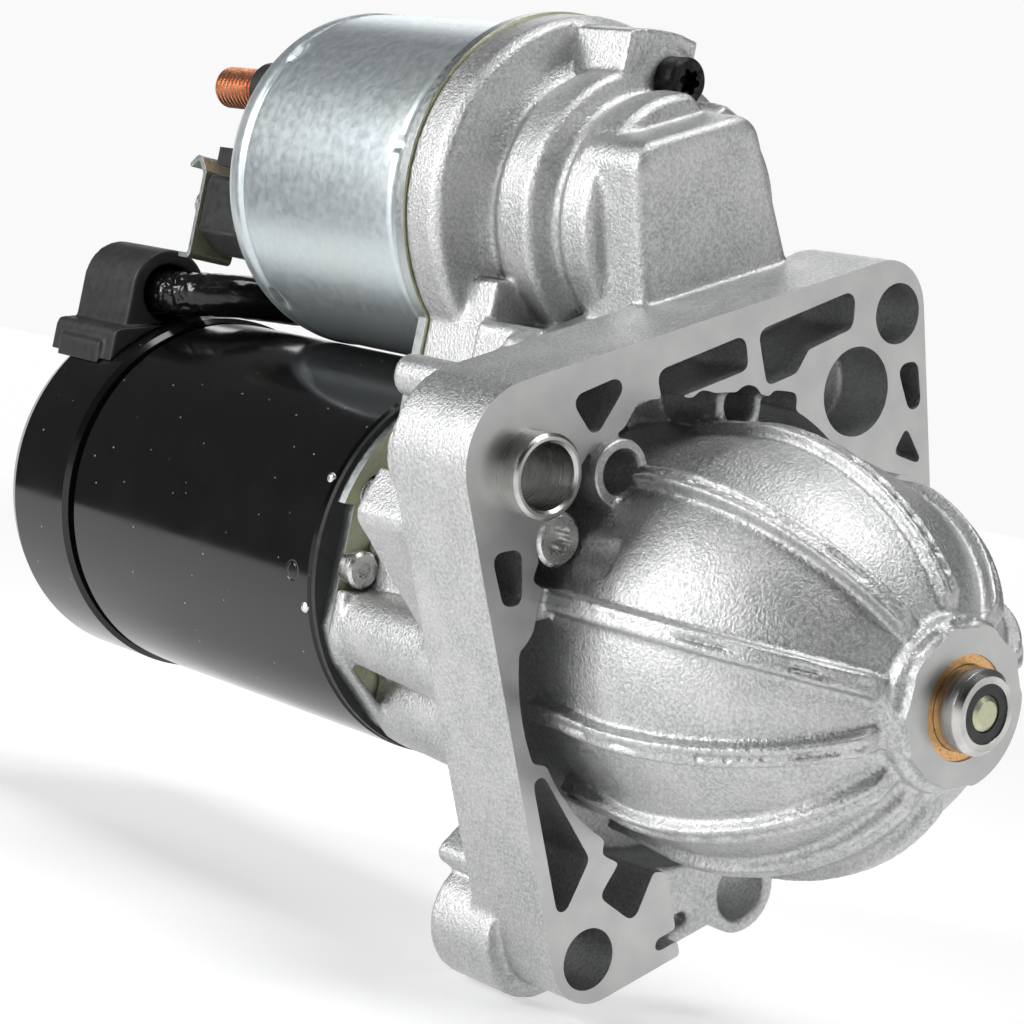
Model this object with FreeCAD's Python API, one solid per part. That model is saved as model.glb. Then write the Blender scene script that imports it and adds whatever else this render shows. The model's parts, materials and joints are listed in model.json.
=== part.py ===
import FreeCAD, Part
import os
from math import atan2, cos, degrees, hypot, pi, radians, sin, sqrt, tan

from FreeCAD import Vector

# Starter motor with planetary reduction and a solenoid above the motor.
# Millimetres. The origin is on the shaft axis where it crosses the machined
# face of the mounting flange. -Y runs along the shaft towards the nose, +Y
# towards the rear of the motor, +Z from the shaft towards the solenoid.

# ---- driving dimensions -------------------------------------------------
flange_turn = 27.24          # the flange's square is turned about the shaft
flange_depth = 19.0
flange_left = -42.2
flange_top = 49.6
flange_right = 58.2
flange_bottom = -51.6
bolt_hole_r = 5.2            # clearance hole for an M10 bolt
dowel_hole = (-29.9, 38.6)   # flange coordinates (u, v)
right_hole = (51.8, 38.6)
bottom_hole = (-34.9, -43.5)
lug_hole = (1.6, -48.6)
lug_r = 7.6
dowel_r = 6.75               # the part that stands out
dowel_seat_r = 6.2           # the part pressed into the flange
dowel_relief = 0.6           # depth of the clear groove round its foot
dowel_out = 4.6

stub_at = (-27.5, 23.2)
cross_screw_at = (-35.4, 11.2)

dome_r = 34.0
dome_length = 43.0
dome_start = -12.0
dome_wall = 4.0
rib_height = 2.4
rib_width = 3.4
rib_angles = (28, 62, 101, 137, 177, 208, 236, 258, 282)
nose_y = -55.9
nose_r = 12.6
nose_bush_r = 8.2
nose_bush_rear = -43.0

plate_front = 59.4
plate_rear = 61.6
plate_solenoid_r = 33.6
plate_motor_r = 33.2
plate_left = -30.2           # the plate and the bell's rim are flat on the left
flat_r = 32.4                # and low on the left, at this distance
flat_angle = 229.8
plate_neck = 23.0            # half width between motor and solenoid

motor_r = 34.3
cover_r = 35.0
motor_wall = 2.2
motor_front = 62.6
motor_joint = 142.1
motor_rear = 165.4
joint_gap = 1.2

solenoid_z = 65.9
solenoid_r = 31.3
solenoid_wall = 1.8
case_room_r = solenoid_r - solenoid_wall - 0.1
solenoid_rear = 117.6
crimp_r = solenoid_r - 4.7
cap_rear = 126.4
cap_room_r = 21.2
cap_room_rear = 124.0
block_rear = 130.4           # terminal block beside the solenoid's cap

bell_r = 34.6
bell_rear = 31.0
neck_r = 25.6                # narrow rear part round the ring gear
rim_depth = 2.8

bolt_r = 3.0                 # M6 through bolt
bolt_front = 36.0
bolt_seat = 160.4            # floor of the counterbore in the rear cover
bolt_circle_r = 27.4
bolt_angles = (159.3, 339.3)
plate_screw_at = (-27.6, -3.0)
plate_screw_r = 3.3
ring_band_r = 23.6
solenoid_screw_angles = (90, -30)
solenoid_screw_r = 23.5

shaft_r = 6.6
running_gap = 0.06           # radial clearance of a running fit

gear_module = 1.0
sun_teeth = 12
planet_teeth = 15
ring_teeth = 42
gear_front = 46.0
gear_rear = 56.0
planet_count = 3
sun_phase = 90.0             # angle of the sun's first tooth

drive_travel = 14.0
pinion_teeth = 10
pinion_module = 2.5
pinion_front = -8.0
pinion_length = 18.0
clutch_front = pinion_front + pinion_length
clutch_rear = 32.0
clutch_r = 18.0
collar_y = 35.0
lever_y = 28.0
lever_z = 38.0
lever_tilt = degrees(atan2(collar_y - lever_y, lever_z))

plunger_r = 9.0
plunger_front = 47.0
plunger_rear = 86.0
core_front = 98.0

armature_r = 23.6
armature_front = 76.0
armature_rear = 116.0
slot_count = 16
magnet_count = 6
commutator_r = 13.0

battery_stud_at = (-17.5, 78.4)
motor_stud_at = (13.0, 53.0)
signal_stud_at = (-21.0, 55.0)
signal_stud_r = 3.0

lead_r = 4.3
grommet_x = -16.0
grommet_z = 37.2
lead_route = [(-16.0, 157.0, 37.2), (-16.0, 146.0, 37.4), (-11.5, 137.8, 38.8), (-2.5, 134.6, 39.8),
              (6.0, 134.6, 40.2), (10.6, 134.6, 43.6)]

AXIS_Y = Vector(0, 1, 0)


# ---- helpers ------------------------------------------------------------
def flange_xz(u, v):
    """Place of a point of the flange, given in the flange's turned square."""
    a = radians(flange_turn)
    return u * cos(a) - v * sin(a), u * sin(a) + v * cos(a)


def rod(r, y0, y1, x=0.0, z=0.0):
    """Cylinder along Y."""
    return Part.makeCylinder(r, y1 - y0, Vector(x, y0, z), AXIS_Y)


def tube(r_out, r_in, y0, y1, x=0.0, z=0.0):
    """Hollow cylinder along Y."""
    outer = rod(r_out, y0, y1, x, z)
    return outer.cut(rod(r_in, y0 - 1, y1 + 1, x, z))


def cone(r0, r1, y0, y1, x=0.0, z=0.0):
    """Cone along Y."""
    return Part.makeCone(r0, r1, y1 - y0, Vector(x, y0, z), AXIS_Y)


def block(x0, x1, y0, y1, z0, z1):
    """Box between two corners."""
    return Part.makeBox(x1 - x0, y1 - y0, z1 - z0, Vector(x0, y0, z0))


def polar(r, angle):
    """Place (x, z) at a radius and an angle in degrees from +X towards +Z."""
    return r * cos(radians(angle)), r * sin(radians(angle))


def turned(shape, angle, x=0.0, z=0.0):
    """Copy turned about an axis along Y, from +X towards +Z."""
    copy = shape.copy()
    copy.rotate(Vector(x, 0, z), AXIS_Y, -angle)
    return copy


def rounded_wire(corners, place):
    """Closed wire with a tangent arc at each corner (a, b, radius)."""
    edges = []
    ends = []
    count = len(corners)
    for i in range(count):
        a, b, r = corners[i]
        before = corners[i - 1]
        after = corners[(i + 1) % count]
        back = Vector(before[0] - a, before[1] - b, 0)
        ahead = Vector(after[0] - a, after[1] - b, 0)
        back.normalize()
        ahead.normalize()
        half = back.getAngle(ahead) / 2
        corner = Vector(a, b, 0)
        if r <= 0 or half > radians(89.5):
            ends.append((corner, None, corner))
            continue
        reach = r / tan(half)
        middle_line = back + ahead
        middle_line.normalize()
        centre = corner + middle_line * (r / sin(half))
        ends.append((corner + back * reach, centre - middle_line * r, corner + ahead * reach))
    for i in range(count):
        start, middle, end = ends[i]
        following = ends[(i + 1) % count][0]
        if middle is not None:
            points = [place(p.x, p.y) for p in (start, middle, end)]
            edges.append(Part.Arc(*points).toShape())
        if (following - end).Length > 1e-6:
            edges.append(Part.LineSegment(place(end.x, end.y), place(following.x, following.y)).toShape())
    return Part.Wire(edges)


def prism(corners, y0, y1, flange=False):
    """Rounded outline in the XZ plane, or in the flange's square, along Y."""
    def place(a, b):
        x, z = flange_xz(a, b) if flange else (a, b)
        return Vector(x, y0, z)
    return Part.Face(rounded_wire(corners, place)).extrude(Vector(0, y1 - y0, 0))


def side_prism(corners, x0, x1):
    """Rounded outline in the YZ plane, along X."""
    wire = rounded_wire(corners, lambda a, b: Vector(x0, a, b))
    return Part.Face(wire).extrude(Vector(x1 - x0, 0, 0))


def spun(points, z=0.0):
    """Solid of revolution about an axis along Y from (radius, y) points."""
    wire = Part.makePolygon([Vector(r, y, 0) for r, y in points + [points[0]]])
    solid = Part.Face(wire).revolve(Vector(0, 0, 0), AXIS_Y, 360)
    solid.translate(Vector(0, 0, z))
    return solid


def shell_dome(extra, rear):
    """Round nose: a cylinder behind, half an ellipse in front, to the axis."""
    r = dome_r + extra
    length = dome_length + extra
    start = dome_start
    ellipse = Part.Ellipse(Vector(0, start - length, 0), Vector(r, start, 0), Vector(0, start, 0))
    arc = Part.ArcOfEllipse(ellipse, 0, pi / 2).toShape()
    tip = arc.Vertexes[0].Point
    side = arc.Vertexes[-1].Point
    if tip.x > side.x:
        tip, side = side, tip
    base_r = side.x - 1.4
    rest = Part.makePolygon([side, Vector(base_r, 2, 0), Vector(base_r, rear, 0), Vector(0, rear, 0),
                             tip])
    face = Part.Face(Part.Wire([arc] + rest.Edges))
    return face.revolve(Vector(0, 0, 0), AXIS_Y, 360)


def gear(teeth, module, y0, y1, bore, phase=0.0, addendum=0.85, dedendum=1.15, thick=0.42):
    """Spur gear along Y with straight-flanked teeth; the first tooth is at the phase angle."""
    pitch_r = teeth * module / 2
    tip_r = pitch_r + addendum * module
    root_r = pitch_r - dedendum * module
    step = 360.0 / teeth
    half_pitch = thick * step / 2
    slope = degrees(tan(radians(20)) * module / pitch_r)
    half_tip = half_pitch - addendum * slope
    half_root = half_pitch + dedendum * slope * 0.9
    points = []
    for i in range(teeth):
        middle = phase + i * step
        for r, angle in ((root_r, -half_root), (tip_r, -half_tip), (tip_r, half_tip),
                         (root_r, half_root)):
            x, z = polar(r, middle + angle)
            points.append(Vector(x, y0, z))
    points.append(points[0])
    solid = Part.Face(Part.makePolygon(points)).extrude(Vector(0, y1 - y0, 0))
    if bore > 0:
        solid = solid.cut(rod(bore, y0 - 1, y1 + 1))
    return solid


def coil(r, wire_r, y0, y1, turns, x=0.0, z=0.0):
    """Helical wire spring along Y."""
    length = y1 - y0 - 2 * wire_r
    helix = Part.makeHelix(length / turns, length, r)
    profile = Part.Wire(Part.makeCircle(wire_r, Vector(r, 0, 0), Vector(0, 1, 0)))
    spring = Part.Wire(helix).makePipeShell([profile], True, True)
    spring.rotate(Vector(0, 0, 0), Vector(1, 0, 0), -90)
    spring.translate(Vector(x, y0 + wire_r, z))
    return spring


def torx_head(r, length, y, x, z, socket_r):
    """Round screw head that looks towards -Y, with a six-lobed socket."""
    head = rod(r, y, y + length, x, z)
    rim = [edge for edge in head.Edges if abs(edge.BoundBox.YMax - y) < 1e-6]
    head = head.makeChamfer(0.6, rim)
    socket = rod(socket_r * 0.72, y - 1, y + length * 0.6, x, z)
    for i in range(6):
        dx, dz = polar(socket_r * 0.72, 60 * i)
        socket = socket.fuse(rod(socket_r * 0.28, y - 1, y + length * 0.6, x + dx, z + dz))
    return head.cut(socket)


def hexagon(across, y0, y1, x, z):
    """Hexagonal bar along Y."""
    points = []
    for i in range(7):
        dx, dz = polar(across / sqrt(3), 60 * i)
        points.append(Vector(x + dx, y0, z + dz))
    return Part.Face(Part.makePolygon(points)).extrude(Vector(0, y1 - y0, 0))


def threaded(r, y0, y1, x, z, pitch):
    """Threaded bar: a core with one ring-shaped crest for each turn."""
    core_r = r - 0.6 * pitch
    count = int((y1 - y0) / pitch)
    points = [(0, y0), (core_r, y0)]
    for i in range(count):
        at = y0 + i * pitch
        points += [(core_r, at + 0.12 * pitch), (r, at + 0.45 * pitch),
                   (r, at + 0.6 * pitch), (core_r, at + 0.93 * pitch)]
    points += [(core_r, y1), (0, y1)]
    bar = spun(points)
    bar.translate(Vector(x, 0, z))
    return bar


def joined(shapes):
    """One shape from several that overlap."""
    return shapes[0].multiFuse(shapes[1:]).removeSplitter()


def save(name, shape):
    """One STEP file for each sub-part."""
    if not shape.isValid():
        print("not valid:", name)
    shape.exportStep("parts/" + name + ".step")
    print(name, len(shape.Solids), round(sum(s.Volume for s in shape.Solids)))


# ---- drive housing ------------------------------------------------------
def flange_outline():
    """Outline of the flange's square, with the lug low on the right."""
    u, v = lug_hole
    return [(flange_left, flange_top + 4.2, 13.0), (flange_right + 1.2, flange_top - 1.8, 9.0),
            (flange_right - 4.0, 4.0, 12.0), (13.5, -45.5, 4.0), (u + 5.5, flange_bottom, 2.0),
            (flange_left, flange_bottom, 9.0)]


def flange_pockets():
    """Cast pockets that are open to the front of the flange."""
    deep = 14.0
    pockets = [
        prism([(-20.0, 47.4, 1.6), (-6.4, 47.6, 1.6), (-16.6, 39.4, 1.6)], -1, deep, True),
        prism([(-2.2, 45.9, 1.8), (17.4, 45.8, 1.8), (17.0, 40.0, 1.5), (-1.9, 40.4, 1.2)], -1, deep,
              True),
        prism([(20.2, 45.6, 1.8), (43.0, 45.6, 1.8), (41.2, 39.4, 1.8), (30.6, 39.0, 1.0),
               (27.2, 36.0, 1.0), (20.4, 36.0, 1.2)], -1, deep, True),
        prism([(50.2, 30.0, 1.6), (55.2, 29.2, 1.6), (54.6, 20.8, 1.6), (51.6, 21.4, 1.4)], -1, deep,
              True),
        prism([(50.6, 18.8, 0.6), (53.4, 10.8, 0.6), (46.8, 15.2, 0.6)], -1, 5.0, True),
        prism([(-39.8, 28.8, 1.4), (-34.0, 27.6, 1.6), (-35.8, 18.6, 1.6), (-39.4, 20.0, 1.4)], -1,
              deep, True),
        prism([(-39.6, -9.0, 1.2), (-37.2, -10.0, 0.8), (-31.2, -27.0, 1.2), (-39.4, -35.4, 1.4)], -1,
              deep, True),
        prism([(-30.6, -34.2, 1.2), (-24.4, -29.4, 1.2), (-20.6, -28.6, 1.6), (-17.6, -33.6, 1.6),
               (-24.6, -41.6, 1.6)], -1, deep, True),
        prism([(-21.6, -48.9, 0.9), (-9.8, -48.9, 0.9), (-11.6, -46.7, 0.9), (-20.6, -46.7, 0.9)], -1,
              6.0, True),
    ]
    recess_u, recess_v = 40.0, 28.6
    x, z = flange_xz(recess_u, recess_v)
    pockets.append(rod(7.6, -1, 11.0, x, z))
    return pockets


def nose_opening():
    """Recess round the foot of the dome, open to the front."""
    ring = rod(39.6, -1, 15.0)
    left_wall = prism([(-60, 40, 0), (-26.5, 17.0, 2.0), (-27.5, 13.6, 1.5), (-33.0, 14.6, 1.0),
                       (-37.0, 12.0, 2.0), (-60, 12, 0)], -2, 16, True)
    ring = ring.cut(left_wall)
    upper = prism([(-20.5, 30.5, 2.0), (-6.5, 42.6, 1.5), (-1.0, 41.0, 1.5), (22.0, 34.0, 1.5),
                   (0, 10, 1)],
                  -1, 4.5, True)
    side = prism([(-31.0, 27.0, 3.0), (-18.0, 38.0, 3.0), (-5.0, 40.0, 2.0), (-5.0, 18.0, 2.0),
                  (-29.0, 17.0, 2.0)], -1, 13.0, True)
    relief = rod(dome_r + rib_height + 0.4, -1, 1.2)
    arc_rib = tube(40.2, 37.4, -1, 16.0).common(block(-45, -13, 0, 16, -46, -24))
    arc_rib = arc_rib.common(prism([(-50, -7, 0), (-20, -7, 0), (-20, -31, 0), (-50, -31, 0)], 0, 16,
                                   True))
    return ring.fuse([upper, side, relief]).cut(arc_rib)


def dome_ribs():
    """Raised ribs that run down the dome to the nose."""
    outer = shell_dome(rib_height, 6.0)
    crest = shell_dome(rib_height - 0.9, 6.0)
    ribs = []
    for angle in rib_angles:
        slab = block(10, 45, nose_y + 4, 5.0, -rib_width / 2, rib_width / 2)
        groove = block(10, 45, nose_y + 4, 5.0, -rib_width / 8, rib_width / 8)
        rib = outer.common(slab).cut(groove.cut(crest))
        ribs.append(turned(rib, angle))
    return ribs


def nose_boss():
    """Machined ring that holds the front bush, with small flats."""
    boss = cone(nose_r, nose_r + 2.4, nose_y, nose_y + 11)
    for angle in rib_angles:
        flat = block(nose_r - 0.5, nose_r + 5, nose_y - 1, nose_y + 2.2, -2.6, 2.6)
        boss = boss.cut(turned(flat, angle))
    return boss


def solenoid_seat():
    """Stepped round casting that carries the solenoid and narrows forward."""
    profile = [(0, plate_front), (33.2, plate_front), (33.2, 52.5), (32.2, 50.6), (26.0, 49.6),
               (23.6, 48.2), (23.4, 46.8), (24.8, 45.2), (25.0, 37.6), (24.2, 36.4), (21.0, 35.4),
               (20.6, 33.6), (21.6, 32.4), (21.4, 26.5), (20.2, 25.0), (0, 25.0)]
    return spun(profile, solenoid_z)


def lever_box():
    """Rounded trapezoid box over the fork lever, square to the flange."""
    lower = [(9.6, 44.0, 1.0), (44.6, 44.0, 1.0), (44.0, 48.0, 3.0), (41.0, 75.4, 5.0), (14.4, 76.6, 5.0),
             (10.4, 48.0, 3.0)]
    box = prism(lower, 15.6, 31.0, True)
    front = [edge for edge in box.Edges if abs(edge.BoundBox.YMax - 15.6) < 1e-6]
    upright = [edge for edge in front if edge.BoundBox.ZMax > 50 or edge.BoundBox.XMin > 14]
    try:
        return box.makeFillet(2.2, upright)
    except Part.OCCError:
        return box


def solenoid_screw_places():
    """Places (x, z) of the screws that hold the solenoid."""
    places = []
    for angle in solenoid_screw_angles:
        x, z = polar(solenoid_screw_r, angle)
        places.append((x, solenoid_z + z))
    return places


def screw_ears():
    """Ledges on the solenoid seat that take the solenoid screws."""
    ledge = rod(31.6, 36.5, plate_front - 6, 0, solenoid_z).common(block(-10.5, 5.0, 30, 60, 80, 100))
    ears = [ledge]
    for angle in solenoid_screw_angles[1:]:
        ears.append(turned(ledge, angle - 90, 0, solenoid_z))
    for x, z in solenoid_screw_places():
        ears.append(rod(5.4, 35.9, 45.0, x, z))
    return joined(ears)


def flat_sided(r, y0, y1, left, flat):
    """Disc with one flat on the left and one low on the left."""
    disc = rod(r, y0, y1).common(block(left, 40, y0, y1, -40, 40))
    return disc.common(turned(block(-50, flat, y0, y1, -50, 50), flat_angle))


def bell_neck():
    """Narrow rear of the bell, its bulges, and the shelf up to the solenoid."""
    start = bell_rear - 3
    left_bolt, right_bolt = [polar(bolt_circle_r, angle) for angle in bolt_angles]
    pieces = [rod(neck_r, start, plate_front),
              cone(8.4, 6.4, start, plate_front, -24.0, -12.6),
              cone(10.6, 8.8, start, plate_front, -8.6, -23.6),
              rod(6.0, start, 44.0, *left_bolt),
              rod(6.0, start, plate_front, *right_bolt),
              prism([(-24.6, 8, 1), (24.6, 8, 1), (24.6, 45.0, 2), (-24.6, 43.0, 2)], start, 44.0),
              prism([(-22.6, 14, 1), (22.6, 14, 1), (22.6, 50.0, 1), (-22.6, 50.0, 1)], 43.0,
                    plate_front)]
    return joined(pieces)


def bell_rim():
    """Rim that meets the plate, open at the left bolt and at a pocket below."""
    y0 = plate_front - rim_depth
    rim = flat_sided(plate_motor_r + 0.9, y0, plate_front, plate_left - 0.3, flat_r + 0.2)
    niche = block(-40, -18, y0 - 1, plate_front + 1, -7.0, 40.0)
    pocket = prism([(-26.9, -16.8, 0.8), (-20.0, -18.6, 0.8), (-17.5, -21.5, 0.8), (-12.6, -29.8, 0.6),
                    (-25.4, -19.7, 1.0)], y0 - 1, plate_front + 1)
    return rim.cut(niche.fuse(pocket))


def housing_outside():
    """Everything of the casting before it is hollowed."""
    flange = prism(flange_outline(), 0, flange_depth, True)
    u, v = lug_hole
    x, z = flange_xz(u, v)
    lug = rod(lug_r, 3.0, flange_depth - 3, x, z)
    bell = cone(bell_r + 2.2, bell_r, 8.0, bell_rear)
    x, z = flange_xz(*bottom_hole)
    rear_boss = rod(10.4, flange_depth - 6, 28.5, x, z)
    x, z = flange_xz(*dowel_hole)
    dowel_boss = rod(9.6, flange_depth - 6, 24.0, x, z)
    x, z = flange_xz(*right_hole)
    right_boss = rod(8.6, flange_depth - 6, 23.0, x, z)
    shelf = prism([(-27.5, 20, 1), (27.5, 20, 1), (27.5, 44.6, 2.5), (-27.5, 41.6, 2.5)], 12.0,
                  bell_rear + 2)
    wing = prism([(-41.0, 30.0, 3), (-20.0, 47.0, 3), (30.0, 47.0, 3), (30.0, 20.0, 3), (-30.0, 0.0, 3)],
                 10.0, 34.0, True)
    side_boss = rod(3.6, 10.0, 42.6, -37.5, 31.4)
    web = prism([(-41, -30, 2), (-30, -44, 4), (-12, -42, 4), (-16, -20, 4)], 10.0, 30.0, True)
    return joined([flange, lug, bell, rear_boss, dowel_boss, right_boss, shelf, wing, side_boss, web,
                   solenoid_seat(), lever_box(), screw_ears(), bell_neck(), bell_rim()])


def lever_room():
    """Space for the fork lever, the plunger's hook and the plunger."""
    slot = side_prism([(17.0, 0, 0), (40.8, 0, 0), (40.8, 66, 0), (19.0, 66, 0), (17.0, 40, 0)], -9.0,
                      9.0)
    fork_side = side_prism([(15.0, -6, 0), (40.8, -6, 0), (40.8, 30.5, 0), (15.0, 30.5, 0)], -21.6, 21.6)
    box = block(-8.5, 8.5, 18.2, 36.0, 50.0, 73.6)
    front = rod(15.0, 30.0, plate_front + 1, 0, solenoid_z)
    rear = rod(24.0, 54.0, plate_front + 1, 0, solenoid_z)
    return joined([slot, fork_side, box, front, rear])


def gear_window():
    """Opening in the side of the dome where the flywheel's ring gear runs."""
    wheel_r = 147.0
    away = 155.0
    x, z = polar(away, -6)
    return rod(wheel_r, -27.0, -2.0, x, z)


def upper_web_holes():
    """Boss bore and two windows in the web above the dome."""
    holes = [rod(3.4, -1, 13.0, -1.8, 37.6)]
    holes.append(prism([(-15.6, 31.4, 1.4), (-9.4, 33.6, 1.8), (-9.0, 38.6, 1.4), (-13.4, 38.6, 2.6)],
                       -1, 14.0))
    holes.append(prism([(3.4, 35.2, 1.4), (9.6, 35.4, 1.2), (9.0, 41.4, 1.2), (2.6, 41.0, 1.4)], -1,
                       14.0))
    return holes


def drive_housing():
    """Die-cast aluminium housing: flange, ribbed nose, bell and solenoid seat."""
    body = housing_outside()
    body = body.cut(nose_opening())
    pockets = flange_pockets()
    body = body.cut(pockets[0].multiFuse(pockets[1:]))
    lug_front = prism([(-16.2, -36.0, 1.0), (-16.2, -60, 0), (40, -60, 0), (40, -30, 0),
                       (-10.0, -33.0, 2.0)],
                      -1, 3.0, True)
    body = body.cut(lug_front)
    dome = shell_dome(0, 20.0)
    stub = rod(5.3, -2.0, 15.0, *stub_at)
    web_boss = tube(5.2, 3.4, 1.5, 15.0, -1.8, 37.6)
    body = body.multiFuse([dome, nose_boss(), stub, web_boss] + dome_ribs())
    hollow = [shell_dome(-dome_wall, 12.0), rod(30.0, 5.0, bell_rear - 2),
              rod(ring_band_r + 0.1, bell_rear - 3, plate_front + 1), lever_room()]
    body = body.cut(joined(hollow))
    body = body.fuse(tube(nose_r + 1.0, 5.0, nose_y + 2, nose_bush_rear))
    cuts = [rod(nose_bush_r, nose_y - 1, nose_bush_rear + 1), gear_window(),
            rod(3.7, -3, 9.0, *stub_at), rod(5.0, -9, 3.0, *cross_screw_at),
            rod(1.9, 2, 14.0, *cross_screw_at)]
    for hole in (right_hole, bottom_hole, lug_hole):
        cuts.append(rod(bolt_hole_r, -1, 40, *flange_xz(*hole)))
    cuts.append(rod(dowel_r + 0.15, -1, dowel_relief, *flange_xz(*dowel_hole)))
    cuts.append(rod(dowel_seat_r, -1, 13, *flange_xz(*dowel_hole)))
    cuts.append(rod(bolt_hole_r, 12, 40, *flange_xz(*dowel_hole)))
    for angle in bolt_angles:
        cuts.append(rod(bolt_r + running_gap, bolt_front - 0.5, 61, *polar(bolt_circle_r, angle)))
    cuts.append(rod(plate_screw_r + 0.2, 55.9, 61, *plate_screw_at))
    for x, z in solenoid_screw_places():
        cuts.append(rod(2.5 + running_gap, 30, 61, x, z))
        cuts.append(rod(4.7, 20, 35.9, x, z))
    pin = Part.makeCylinder(2.5, 28, Vector(-14, lever_y, lever_z), Vector(1, 0, 0))
    cuts.append(pin)
    cuts += upper_web_holes()
    for tool in cuts:
        body = body.cut(tool)
    solids = sorted(body.Solids, key=lambda s: s.Volume)
    return solids[-1]


def nose_bush():
    return tube(nose_bush_r, shaft_r + running_gap, nose_y + 0.3, nose_bush_rear - 0.5)


def dowel_bush():
    x, z = flange_xz(*dowel_hole)
    bush = rod(dowel_r, -dowel_out, 0.0, x, z).fuse(rod(dowel_seat_r, -0.2, 12.8, x, z))
    bush = bush.cut(rod(bolt_hole_r, -dowel_out - 1, 14, x, z))
    rims = [edge for edge in bush.Edges if abs(edge.BoundBox.YMax + dowel_out) < 1e-6]
    return bush.makeChamfer(0.5, rims)


# ---- plate, motor shell and fasteners -----------------------------------
def intermediate_plate():
    round_top = rod(plate_motor_r, plate_front, plate_rear).common(block(-40, 40, 50, 70, 7.6, 40))
    plate = joined([flat_sided(plate_motor_r, plate_front, plate_rear, plate_left, flat_r), round_top,
                    rod(plate_solenoid_r, plate_front, plate_rear, 0, solenoid_z),
                    prism([(-plate_neck, 10, 0), (plate_neck, 10, 0), (plate_neck, 56, 0),
                           (-plate_neck, 56, 0)],
                          plate_front, plate_rear)])
    holes = [rod(7.9, 50, 70), rod(plunger_r + 0.6, 50, 70, 0, solenoid_z)]
    holes += [rod(bolt_r + 0.8, 50, 70, *polar(bolt_circle_r, a)) for a in bolt_angles]
    holes += [rod(2.6, 50, 70, x, z) for x, z in solenoid_screw_places()]
    holes.append(rod(2.0, 50, 70, *plate_screw_at))
    return plate.cut(holes[0].multiFuse(holes[1:]))


def motor_gasket():
    ring = tube(motor_r - 0.2, 27.0, plate_rear, motor_front)
    for angle in bolt_angles:
        ring = ring.cut(rod(bolt_r + 0.4, 50, 70, *polar(bolt_circle_r, angle)))
    return ring.cut(rod(2.4, 50, 70, *plate_screw_at))


def motor_body():
    rear = motor_joint - joint_gap / 2
    profile = [(motor_r - motor_wall, motor_front), (motor_r - 1.0, motor_front),
               (motor_r, motor_front + 1.0),
               (motor_r, rear - 1.2), (motor_r - 0.8, rear), (motor_r - motor_wall, rear)]
    return spun(profile)


def pole_magnets():
    inner, outer = armature_r + 0.9, motor_r - motor_wall
    ring = tube(outer, inner, 72.0, 120.0)
    pieces = []
    for i in range(magnet_count):
        middle = bolt_angles[0] + 30 + i * 360 / magnet_count
        half = 22.0
        wedge_points = [(0, 0, 0), polar(60, middle - half) + (0,), polar(60, middle + half) + (0,)]
        pieces.append(ring.common(prism(wedge_points, 70, 122)))
    return Part.makeCompound(pieces)


def rear_cover():
    """Cover with a closed bush seat in the middle and sunk seats for the bolts."""
    front = motor_joint + joint_gap / 2
    rear = motor_rear
    r = cover_r
    spigot_r = motor_r - motor_wall - 0.05
    profile = [(spigot_r - 2.0, front - 4.5), (spigot_r, front - 4.5), (spigot_r, front),
               (r - 0.8, front), (r, front + 1.0), (r, rear - 4.0), (r - 1.2, rear - 1.2),
               (r - 4.0, rear), (9.5, rear), (9.5, rear + 2.0), (0, rear + 2.0), (0, rear - 0.4),
               (5.2, rear - 0.4), (7.0, rear - 0.4), (7.0, 154.5), (9.6, 154.5), (9.6, rear - 2.6),
               (r - 5.0, rear - 2.6), (r - 2.8, rear - 5.0), (r - 2.8, front + 3.0),
               (spigot_r - 2.0, front + 1.0)]
    cover = spun(profile)
    room = spun([(0, 150), (r - 0.4, 150), (r - 0.4, rear - 4.2), (r - 4.2, rear - 0.1), (0, rear - 0.1)])
    for angle in bolt_angles:
        x, z = polar(bolt_circle_r, angle)
        cover = cover.fuse(rod(7.0, bolt_seat - 2.6, rear, x, z).common(room))
        cover = cover.cut(rod(bolt_r + 0.2, 130, 170, x, z))
        cover = cover.cut(rod(5.3, bolt_seat, 170, x, z))
    port = Part.makeCylinder(5.0, 12, Vector(grommet_x * 0.75, 154.0, 24.0), Vector(-0.35, 0, 1))
    return cover.cut(port)


def rear_bush():
    return tube(7.0, 5.0 + running_gap, 155.0, 164.0)


def through_bolts():
    pieces = []
    for angle in bolt_angles:
        x, z = polar(bolt_circle_r, angle)
        thread = threaded(bolt_r, bolt_front, 66.0, x, z, 1.0)
        shank = rod(bolt_r - 0.2, 65.5, bolt_seat + 0.5, x, z)
        head = hexagon(8.0, bolt_seat, bolt_seat + 4.4, x, z)
        washer = rod(5.0, bolt_seat, bolt_seat + 0.8, x, z)
        pieces.append(joined([thread, shank, head, washer]))
    return Part.makeCompound(pieces)


def plate_screw():
    x, z = plate_screw_at
    top = plate_front - 3.2
    head = rod(plate_screw_r, top, plate_front, x, z).cut(hexagon(2.6, top - 1, top + 1.8, x, z))
    front = [edge for edge in head.Edges if abs(edge.BoundBox.YMax - top) < 1e-6]
    rim = [edge for edge in front if edge.BoundBox.XLength > 6]
    head = head.makeChamfer(0.5, rim)
    return joined([head, rod(1.95, plate_front - 0.5, plate_rear, x, z)])


def cross_screw():
    x, z = cross_screw_at
    head = torx_head(4.4, 2.8, 0.2, x, z, 2.4)
    return joined([head, rod(1.85, 2.9, 13.5, x, z)])


def solenoid_screws():
    screws = []
    for x, z in solenoid_screw_places():
        screws.append(joined([torx_head(4.1, 4.4, 31.4, x, z, 2.3), rod(2.5, 35.5, 66.0, x, z)]))
    return Part.makeCompound(screws)


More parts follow.
